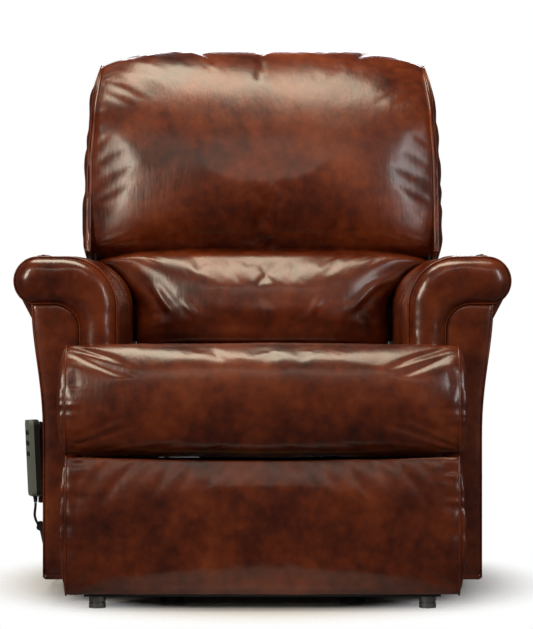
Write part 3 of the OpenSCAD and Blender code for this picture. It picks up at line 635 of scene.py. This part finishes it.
# Soft diagonal folds that run in from behind the arms: both ends (across, up), then width and height
FOLDS = ((-0.300, 0.285, -0.205, 0.190, 0.014, 0.0050), (-0.215, 0.235, -0.165, 0.165, 0.010, 0.0040),
         (0.300, 0.285, 0.205, 0.195, 0.014, 0.0050), (0.225, 0.240, 0.150, 0.165, 0.010, 0.0045),
         (0.262, 0.262, 0.190, 0.215, 0.009, 0.0030), (-0.150, 0.195, -0.120, 0.160, 0.009, 0.0030),
         (0.110, 0.200, 0.085, 0.160, 0.009, 0.0030), (0.0, 0.19, 0.02, 0.16, 0.010, 0.0022))
for x0, w0, x1, w1, width, amount in FOLDS:
    a, b = np.array([x0, w0]), np.array([x1, w1])
    q = local[:, [0, 2]] - a
    along = np.clip(q @ (b - a) / ((b - a) @ (b - a)), 0, 1)
    d = np.linalg.norm(q - along[:, None] * (b - a), axis=1) / width
    shift += amount * np.sin(np.pi * np.clip(along * 0.9 + 0.1, 0, 1)) * (1 - d ** 2) * np.exp(-d ** 2)
set_coords(lumbar_cushion, co + n * (shift * smooth(-local[:, 1], 0.03, 0.09))[:, None])
mottle(lumbar_cushion, 0.0022, 0.06, 21)
refine(lumbar_cushion)
finish_piece(lumbar_cushion, "back", hide_back, "leather", "lumbar_cushion")


# ---------- seat and footrest ----------

def across(name, profile, half, outs, swell, centre, held_where, shape=None, stations=81, **cloth):
    """Padded piece lofted across the chair from its side profile, with a gusset at each end; returns the seam
    rings where the welts go.
    """
    rings = stack(profile, end_stations(np.linspace(-1, 1, stations), outs), np.array(centre))
    t, y, z, push = rings[..., 0], rings[..., 1], rings[..., 2], rings[..., 3]
    if shape:
        y, z = shape(t, y, z)
    middle = profile[:, 1].mean()
    reach = (profile[:, 1].max() - profile[:, 1].min()) / 2
    bulge = swell * np.sqrt(np.maximum(1 - ((z - middle) / reach) ** 2, 0.0)) if swell else 0
    obj = loft(name, np.stack([t * half + push * bulge, y, z], -1))
    count, around = rings.shape[:2]
    grid = np.arange(count * around).reshape(count, around)
    ends = (len(outs), count - len(outs) - 1)
    held = np.zeros(len(obj.data.vertices), bool)
    held[grid[list(ends)].ravel()] = True
    held[grid[:ends[0]].ravel()] = held[grid[ends[1]:].ravel()] = True
    held[grid[:, held_where(profile)].ravel()] = True
    held[-2:] = True
    inflate(obj, held, **cloth)
    return obj, grid, ends


def welts(obj, grid, ends, names, body, radius=0.0019, lift=0.0006):
    for name, ring in zip(names, ends):
        finish_piece(tube(name, ring_line(obj, grid, ring, lift), radius, closed=True), body, hide_welt,
                     "leather")


roll_profile = closed_curve([(-0.3665, 0.405), (-0.3670, 0.436), (-0.3725, 0.4490), (-0.3840, 0.4510),
                             (-0.3990, 0.4445), (-0.4150, 0.4300), (-0.4290, 0.4080), (-0.4385, 0.3800),
                             (-0.4435, 0.3450), (-0.4430, 0.3080), (-0.4370, 0.2810), (-0.4240, 0.2640),
                             (-0.4020, 0.2590), (-0.3780, 0.2610), (-0.3665, 0.29), (-0.3665, 0.34)], 120)


def roll_shape(t, y, z):
    pinch = np.abs(t) ** 9
    top, low = smooth(z, 0.34, 0.45), smooth(-z, -0.36, -0.27)
    return (y + 0.006 * pinch * smooth(-y, 0.36, 0.43),
            z + top * (0.0045 * (1 - t ** 2) + 0.001 - 0.005 * pinch) + low * (0.005 - 0.008 * (1 - t ** 2)))


roll, grid, ends = across("seat_front_roll_cover", roll_profile, 0.3360, GUSSET, 0.0135, (-0.405, 0.357),
                          lambda p: p[:, 0] > -0.371, roll_shape, pressure=4.0, grow=0.003, cap=0.005)
seams = [ring_line(roll, grid, e) for e in ends]
mottle(roll, 0.0016, 0.055, 31)
pucker(roll, seams, 0.022, 0.0016, 0.014, 37)
refine(roll)
finish_piece(roll, "chassis", hide, "leather", "seat_front_roll")
welts(roll, grid, ends, ("seat_roll_welt_left", "seat_roll_welt_right"), "chassis")

pad_profile = closed_curve([(-0.4305, 0.14), (-0.4303, 0.246), (-0.4308, 0.2560), (-0.4345, 0.2575),
                            (-0.4390, 0.2500), (-0.4437, 0.235), (-0.4485, 0.213), (-0.4520, 0.185),
                            (-0.4537, 0.15), (-0.4537, 0.10), (-0.4515, 0.060), (-0.4470, 0.037),
                            (-0.4390, 0.0275), (-0.4325, 0.0275), (-0.4305, 0.04)], 124)


def pad_shape(t, y, z):
    return y, z + smooth(z, 0.15, 0.25) * (0.003 - 0.006 * (1 - t ** 2))


pad, grid, ends = across("footrest_pad_cover", pad_profile, 0.3335, GUSSET, 0.0105, (-0.442, 0.142),
                         lambda p: p[:, 0] > -0.436, pad_shape, pressure=3.5, grow=0.003, cap=0.004)
seams = [ring_line(pad, grid, e) for e in ends]
mottle(pad, 0.0020, 0.07, 41)
pucker(pad, seams, 0.020, 0.0018, 0.015, 43)
refine(pad)
finish_piece(pad, "footrest", hide, "leather", "footrest_pad")
welts(pad, grid, ends, ("footrest_welt_left", "footrest_welt_right"), "footrest")

cushion_profile = closed_curve([(-0.342, 0.400), (-0.338, 0.428), (-0.318, 0.4380), (-0.27, 0.4410),
                                (-0.15, 0.4400), (0.0, 0.4340), (0.10, 0.4290), (0.137, 0.4230),
                                (0.1465, 0.408), (0.147, 0.35), (0.145, 0.303), (0.132, 0.2935),
                                (0.05, 0.2930), (-0.15, 0.2930), (-0.325, 0.2930), (-0.341, 0.303),
                                (-0.343, 0.35)], 130)


def cushion_shape(t, y, z):
    return y, z - 0.012 * np.abs(t) ** 4 * smooth(z, 0.36, 0.44)


cushion, grid, ends = across("seat_cushion_cover", cushion_profile, 0.2465, GUSSET, 0.002, (-0.10, 0.365),
                             lambda p: (p[:, 1] < 0.40), cushion_shape, 61, pressure=3.0, grow=0.006,
                             cap=0.005)
mottle(cushion, 0.0025, 0.08, 51)
refine(cushion)
finish_piece(cushion, "chassis", hide, "leather", "seat_cushion")
welts(cushion, grid, ends, ("seat_cushion_welt_left", "seat_cushion_welt_right"), "chassis", 0.0019)


# ---------- arms ----------

ARM_HIGH = 0.601
FLARE = [(0.380 + 0.020 * (u * u * (3 - 2 * u)) ** 1.3, 0.285 + 0.235 * u) for u in np.linspace(0, 1, 12)]


def arc(centre, radius, start, end, count=16):
    a = np.radians(np.linspace(start, end, count))
    return np.column_stack([centre[0] + radius * np.cos(a), centre[1] + radius * np.sin(a)])


ARM_TOP = np.concatenate([arc((0.340, 0.514), 0.087, 180, 90, 30), arc((0.389, 0.560), 0.041, 90, -74, 30)])


def arm_section():
    """Front view of an arm: up its inner face, over the roll and down its flared outer face."""
    runs = (([(0.253, 0.052), (0.253, 0.514)], 42), (ARM_TOP[:30], 26),
            ([(0.340, ARM_HIGH), (0.389, ARM_HIGH)], 9), (ARM_TOP[30:], 36), (FLARE[::-1], 44),
            ([(0.380, 0.285), (0.380, 0.052)], 20), ([(0.374, 0.0425), (0.320, 0.0420), (0.259, 0.0425)], 16))
    parts = [even(np.array(run), count, False) for run, count in runs]
    # The long runs leave their last point to the run after them
    return np.concatenate([part[:-1] if len(part) > 16 else part for part in parts])


def cut_slope(section, top):
    """Cuts a section down to a height, where the arm slopes away at the rear."""
    high = section[:, 1] > top
    if not high.any():
        return section
    out = section.copy()
    where = np.nonzero(high)[0]
    a, b = where[0] - 1, where[-1] + 1
    u = np.linspace(0, 1, b - a + 1)[1:-1]
    out[a + 1:b, 0] = section[a, 0] + u * (section[b, 0] - section[a, 0])
    out[a + 1:b, 1] = top + 0.006 * np.sin(np.pi * u)
    return out


section = arm_section()
depths = np.concatenate([np.linspace(-0.345, 0.18, 72), np.linspace(0.186, 0.345, 30)])
rings = []
for y in depths:
    ring = cut_slope(section, ARM_HIGH - max(0.0, y - 0.190) * 0.201 / 0.155)
    rings.append(np.column_stack([ring[:, 0], np.full(len(ring), y), ring[:, 1]]))
for s in (0.985, 0.93, 0.7, 0.4, 0.1):
    ring = rings[len(depths) - 1].copy()
    centre = np.array([0.317, 0.345, 0.215])
    rings.append(centre + (ring - centre) * np.array([s, 1, s]) + np.array([0, 0.0025 * (1 - s ** 6), 0]))
arm_rings = np.array(rings)
arm = loft("arm_cover_pattern", arm_rings)
depths_rear = np.nonzero(depths > 0.02)[0]
arm_index = np.arange(arm_rings.shape[0] * arm_rings.shape[1]).reshape(arm_rings.shape[:2])
held = np.zeros(len(arm.data.vertices), bool)
held[arm_index[[0, 1]].ravel()] = held[arm_index[len(depths) - 1:].ravel()] = True
under = (np.abs(section[:, 1] - 0.520) < 0.006) & (section[:, 0] > 0.392)
held[arm_index[:, under | (section[:, 1] < 0.06)].ravel()] = True
held[-2:] = True
held[arm_index[np.ix_(depths_rear, section[:, 0] < 0.2535)].ravel()] = True
inflate(arm, held, pressure=2.2, grow=0.004, cap=0.004)
arm_shape = coords(arm)
arm_faces = [tuple(p.vertices) for p in arm.data.polygons]
bpy.data.objects.remove(arm)
# Pieces of the crook: the padded front edge that follows the arm's outline
inner_edge = np.concatenate([[(0.316, 0.060)], arc((0.361, 0.476), 0.045, 180, 90, 16), [(0.392, 0.521)]])
outer_edge = np.concatenate([[(0.253, 0.060)], ARM_TOP])
crook_outline = even(np.concatenate([outer_edge, inner_edge[::-1]]), 420, True)
face_outline = [[(0.3165, 0.052)], arc((0.3615, 0.4755), 0.045, 180, 92, 14), [(0.399, 0.5195)], FLARE[::-1],
                [(0.380, 0.16), (0.380, 0.052)]]
face_outline = even(np.concatenate(face_outline), 300, True)


def edge_distance(points, outline):
    """Shortest distance from each flat point to a closed outline."""
    line = np.concatenate([outline, outline[:1]])
    a, b = line[:-1], line[1:]
    q = points[:, None] - a[None]
    d = b - a
    u = np.clip((q * d).sum(2) / (d * d).sum(1), 0, 1)
    return np.linalg.norm(q - u[..., None] * d, axis=2).min(1)


def rounded(distance, reach):
    """Quarter round that climbs from 0 at an edge to 1 at reach from it."""
    return np.sqrt(np.clip(1 - (1 - np.minimum(distance / reach, 1)) ** 2, 0, 1))


def remeshed(name, node, voxel):
    """Copy of a CAD solid with an even mesh, ready to be padded."""
    obj = nodes[node].copy()
    obj.data = nodes[node].data.copy()
    for key in list(obj.keys()):
        del obj[key]
    obj.parent = None
    obj.name = obj.data.name = name
    obj.data.materials.clear()
    scene.collection.objects.link(obj)
    mod = obj.modifiers.new("even", "REMESH")
    mod.mode = "VOXEL"
    mod.voxel_size = voxel
    dg = bpy.context.evaluated_depsgraph_get()
    mesh = bpy.data.meshes.new_from_object(obj.evaluated_get(dg))
    obj.modifiers.clear()
    obj.data = mesh
    mesh.name = name
    mesh.polygons.foreach_set("use_smooth", [True] * len(mesh.polygons))
    return obj


def relax(obj, times):
    """Evens a mesh out by averaging neighbours."""
    co = coords(obj)
    edges = np.array([e.vertices for e in obj.data.edges])
    count = np.bincount(edges.ravel(), minlength=len(co))[:, None]
    for _ in range(times):
        total = np.zeros_like(co)
        np.add.at(total, edges[:, 0], co[edges[:, 1]])
        np.add.at(total, edges[:, 1], co[edges[:, 0]])
        co = 0.5 * co + 0.5 * total / count
    set_coords(obj, co)


def arm_side(side, sign, seed):
    mirror = np.array([sign, 1, 1])
    obj = new_object(f"arm_cover_leather_{side}", arm_shape * mirror,
                     [f if sign > 0 else f[::-1] for f in arm_faces])
    mottle(obj, 0.0024, 0.075, seed)
    refine(obj)
    finish_piece(obj, "chassis", hide_arm, "leather", f"arm_cover_{side}")
    edge = np.column_stack([outer_edge[:, 0], np.full(len(outer_edge), -0.3445), outer_edge[:, 1]])
    edge = even(edge, 200, False)
    welt = tube(f"arm_cover_welt_{side}", edge * mirror, 0.0020)
    finish_piece(welt, "chassis", hide_welt, "leather")

    crook = remeshed(f"arm_crook_pad_{side}", f"arm_front_pad_{side}", 0.0042)
    relax(crook, 2)
    co = coords(crook)
    flat = co[:, [0, 2]] * np.array([sign, 1])
    seeded = np.full(len(co), seed)
    d = edge_distance(flat, crook_outline)
    face = smooth(-co[:, 1], 0.350, 0.362)
    dome = rounded(d, 0.032)
    wave = value_noise(np.column_stack([flat / 0.030, seeded]), seed) - 0.5
    slanted = np.column_stack([flat[:, 1] / 0.016 + flat[:, 0] / 0.03, flat[:, 0] / 0.05, seeded])
    fold = 1 - np.abs(2 * value_noise(slanted, seed + 1) - 1)
    rim = smooth(d, 0.0, 0.01) * smooth(-d, -0.024, -0.01)
    co[:, 1] += face * (0.013 - 0.0235 * dome + 0.0030 * wave * dome + 0.0016 * (fold - 0.5) * rim)
    set_coords(crook, co)
    relax(crook, 1)
    refine(crook)
    finish_piece(crook, "chassis", hide_arm, "leather", f"arm_front_pad_{side}")
    line = np.column_stack([crook_outline[:, 0], np.full(len(crook_outline), -0.3545),
                            crook_outline[:, 1]]) * mirror
    finish_piece(tube(f"arm_crook_welt_{side}", line, 0.0018, closed=True), "chassis", hide_welt, "leather")

    facing = remeshed(f"arm_facing_leather_{side}", f"arm_facing_{side}", 0.0032)
    relax(facing, 1)
    co = coords(facing)
    flat = co[:, [0, 2]] * np.array([sign, 1])
    d = edge_distance(flat, face_outline)
    face = smooth(-co[:, 1], 0.3475, 0.3515)
    wave = value_noise(np.column_stack([flat / 0.05, np.full(len(co), seed + 3)]), seed) - 0.5
    co[:, 1] += face * (0.002 - 0.005 * rounded(d, 0.022) + 0.0016 * wave * smooth(d, 0, 0.02))
    set_coords(facing, co)
    finish_piece(facing, "chassis", hide_arm, "leather", f"arm_facing_{side}")
    seam = np.array(FLARE[::-1] + [(0.380, 0.16), (0.380, 0.046)])
    seam = even(np.column_stack([seam[:, 0] - 0.001, np.full(len(seam), -0.3525), seam[:, 1]]), 120,
                False) * mirror
    finish_piece(tube(f"arm_facing_welt_{side}", seam, 0.0019), "chassis", hide_welt, "leather")


arm_side("left", -1, 61)
arm_side("right", 1, 71)


# ---------- rear, pocket and handset ----------

handset_cord.data.materials.append(moulded("cord_sheath", (0.012, 0.012, 0.013), 0.42, 900.0))


def top_edge(x):
    """Height of the rear cover's top edge in the backrest's frame."""
    return 0.728 - crown_drop(x)


# The tightly drawn cover on the backrest's rear: how far back its two faces and its welt lie, the welt's
# half width, then the half widths and the lower edges of its steps
COVER_FRONT, COVER_REAR, WELT_REAR = 0.0852, 0.0888, 0.0885
WELT_HALF = 0.3445
xs = np.concatenate([np.linspace(0, 0.226, 40), np.linspace(0.2275, 0.2610, 10),
                     np.linspace(0.2620, 0.336, 24), [0.341, 0.345]])
xs = np.concatenate([-xs[:0:-1], xs])
foot = np.where(np.abs(xs) <= 0.2265, -0.004, np.where(np.abs(xs) <= 0.2615, 0.166, 0.307))
rings = []
for x, low in zip(xs, foot):
    w = np.linspace(low, top_edge(x) - 0.002, 90)
    side = 1 - np.clip((np.abs(x) - 0.30) / 0.046, 0, 1) ** 2
    belly = (1 - ((w - low) / (w[-1] - low) * 2 - 1) ** 8) * (0.25 + 0.75 * side)
    slack = 0.0022 * (value_noise(np.column_stack([np.full(90, x / 0.11), w / 0.16, np.zeros(90)]), 91) - 0.5)
    narrow = x * (1 - back_taper(w) / 0.345)
    rear = np.column_stack([narrow, COVER_REAR + (0.0068 + slack) * belly * smooth(w, 0.14, 0.34), w])
    front = np.column_stack([narrow, np.full(90, COVER_FRONT), w])[::-1]
    rings.append(np.concatenate([rear, front]))
rear_cover = loft("backrest_rear_cover", from_back(np.array(rings)))
finish_piece(rear_cover, "back", hide_dark, "leather", "back_rear_cover")
sides_w = np.linspace(0.309, 0.652, 50)
edge = [(x, WELT_REAR, w) for x, w in zip(WELT_HALF - back_taper(sides_w), sides_w)]
edge += [(x * (1 - back_taper(top_edge(x)) / 0.345), WELT_REAR, top_edge(x) - 0.003)
         for x in np.linspace(0.340, 0, 60)]
edge = np.array(edge)
edge = np.concatenate([edge, edge[-2::-1] * [-1, 1, 1]])
finish_piece(tube("rear_cover_welt", even(from_back(edge), 320, False), 0.0024), "back", hide_welt, "leather")
for k, x in enumerate((-0.118, 0.118)):
    w = np.linspace(0.02, 0.715, 120)
    rise = 0.0890 + 0.0066 * (1 - ((w + 0.004) / 0.732 * 2 - 1) ** 8) * smooth(w, 0.14, 0.34)
    dip = from_back(np.column_stack([np.full(120, x), rise, w]))
    finish_piece(tube(f"rear_cover_seam_{k + 1}", dip, 0.0014), "back", hide_welt, "leather")

# Middle of the power inlet in the rear panel
INLET_X, INLET_Z = -0.165, 0.195
rear_panel = remeshed("rear_panel_leather", "rear_panel", 0.0034)
relax(rear_panel, 1)
co = coords(rear_panel)
inlet = np.hypot(co[:, 0] - INLET_X, co[:, 2] - INLET_Z) - 0.011
border = np.minimum(np.minimum(0.250 - np.abs(co[:, 0]), co[:, 2] - 0.060),
                    np.minimum(0.272 - co[:, 2], inlet))
swell = rounded(border, 0.035)
ripple = value_noise(np.column_stack([co[:, 0] / 0.09, co[:, 2] / 0.05, np.zeros(len(co))]), 95) - 0.5
co[:, 1] += smooth(co[:, 1], 0.340, 0.3435) * (0.0055 * swell + 0.0025 * ripple * swell - 0.002)
set_coords(rear_panel, co)
finish_piece(rear_panel, "chassis", hide_dark, "leather", "rear_panel")
frame_line = closed_curve([(-0.247, 0.0635), (-0.12, 0.0625), (0.12, 0.0625), (0.247, 0.0635), (0.248, 0.17),
                           (0.247, 0.2685), (0.12, 0.2695), (-0.12, 0.2695), (-0.247, 0.2685),
                           (-0.248, 0.17)], 260)
frame_line = np.column_stack([frame_line[:, 0], np.full(len(frame_line), 0.3440), frame_line[:, 1]])
finish_piece(tube("rear_panel_welt", frame_line, 0.0022, closed=True), "chassis", hide_welt, "leather")
ring = np.linspace(0, 2 * np.pi, 40, endpoint=False)
rim = np.column_stack([INLET_X + 0.0128 * np.cos(ring), np.full(40, 0.3446), INLET_Z + 0.0128 * np.sin(ring)])
grommet = tube("inlet_grommet", rim, 0.0020, closed=True, sides=12)
finish_piece(grommet, "chassis", moulded("grommet_black", (0.012, 0.012, 0.013), 0.4), "black_plastic")

# Middle and half length of the side pocket, from front to rear
POCKET_MIDDLE, POCKET_HALF = -0.096, 0.076
pocket = remeshed("side_pocket_leather", "side_pocket", 0.0019)
relax(pocket, 1)
co = coords(pocket)
along, height = (co[:, 1] - POCKET_MIDDLE) / POCKET_HALF, (co[:, 2] - 0.160) / 0.122
sag = np.clip(1 - along ** 2, 0, 1) * np.clip(height, 0, 1) ** 1.5
crumple = value_noise(co / np.array([1.0, 0.022, 0.030]), 97) - 0.5
inside = np.clip(1 - along ** 4, 0, 1)
co[:, 0] += smooth(-co[:, 0], 0.400, 0.4035) * (-0.0030 * sag + 0.0022 * crumple * inside)
co[:, 2] -= 0.006 * sag * smooth(co[:, 2], 0.24, 0.282)
set_coords(pocket, co)
finish_piece(pocket, "chassis", hide_dark, "leather", "side_pocket")
hem_y = np.linspace(-0.171, -0.021, 60)
slack = 1 - ((hem_y - POCKET_MIDDLE) / POCKET_HALF) ** 2
hem = np.column_stack([-0.4055 - 0.0030 * slack, hem_y, 0.2800 - 0.006 * slack])
finish_piece(tube("pocket_hem", hem, 0.0020), "chassis", hide_welt, "leather")

handset_axes = Matrix.Translation(Vector((-0.411, -0.205, 0.244)))
handset_axes = handset_axes @ Matrix.Rotation(math.radians(-2.63), 4, "Y")
handset_axes = handset_axes @ Matrix.Rotation(math.radians(15), 4, "Z")
ribs = []
for z in np.linspace(-0.0672, -0.0800, 34):
    k = (-0.0672 - z) / 0.0128
    ribs.append((z, 0.0046 - 0.0016 * k + 0.00035 * math.cos(k * 4.5 * 2 * math.pi)))
angle = np.linspace(0, 2 * np.pi, 28, endpoint=False)
rings = np.array([np.column_stack([r * np.cos(angle), r * np.sin(angle), np.full(28, z)]) for z, r in ribs])
m = np.array(handset_axes)
sleeve = loft("handset_cord_sleeve", rings @ m[:3, :3].T + m[:3, 3])
finish_piece(sleeve, "handset", moulded("sleeve_black", (0.014, 0.014, 0.015), 0.5), "black_plastic",
             "handset_strain_relief")


# ---------- setting ----------

bpy.context.scene.view_settings.view_transform = "Standard"
world = bpy.data.worlds.new("studio")
scene.world = world
world.use_nodes = True
tree = world.node_tree
background = tree.nodes["Background"]
background.inputs[0].default_value = (1, 1, 1, 1)
seen = add(tree, "ShaderNodeLightPath")
level = stretched(tree, seen.outputs["Is Camera Ray"], 0.06, 1.0)
tree.links.new(level.outputs[0], background.inputs[1])


def softbox(name, where, target, size, power, colour):
    light = bpy.data.lights.new(name, "AREA")
    light.shape = "RECTANGLE"
    light.size, light.size_y = size
    light.energy = power
    light.color = colour
    obj = bpy.data.objects.new(name, light)
    scene.collection.objects.link(obj)
    obj.location = where
    obj.rotation_euler = (Vector(target) - Vector(where)).to_track_quat("-Z", "Y").to_euler()
    return obj


softbox("key", (-0.25, -0.25, 2.9), (0, 0.05, 0.5), (2.3, 0.9), 56, (1.0, 0.88, 0.66))
softbox("front", (0.0, -3.3, 2.75), (0, 0, 0.5), (2.2, 0.35), 7, (1.0, 0.87, 0.72))
softbox("left_strip", (-1.8, -2.2, 1.5), (0, 0, 0.65), (0.34, 1.5), 34, (1.0, 0.88, 0.70))
softbox("right_strip", (1.9, -2.1, 1.4), (0, 0, 0.6), (0.30, 1.4), 16, (0.95, 0.92, 0.90))
softbox("rear", (0.3, 3.2, 2.3), (0, 0.2, 0.5), (2.0, 0.6), 26, (0.96, 0.96, 1.0))

floor = new_object("floor", [(-2, -2, 0), (2, -2, 0), (2, 2, 0), (-2, 2, 0)], [(0, 1, 2, 3)])
mat, tree, shader = material("floor")
shader.inputs["Base Color"].default_value = (0.93, 0.93, 0.93, 1)
shader.inputs["Roughness"].default_value = 0.9
# The pale floor fades into the white studio round the chair
spread = add(tree, "ShaderNodeVectorMath", {0: place(tree, (1.15, 1.0, 1.0))},
             operation="LENGTH").outputs["Value"]
fade = stretched(tree, spread, 1.0, 0.0, 0.40, 0.66)
fade.interpolation_type = "SMOOTHSTEP"
tree.links.new(fade.outputs[0], shader.inputs["Alpha"])
floor.data.materials.append(mat)
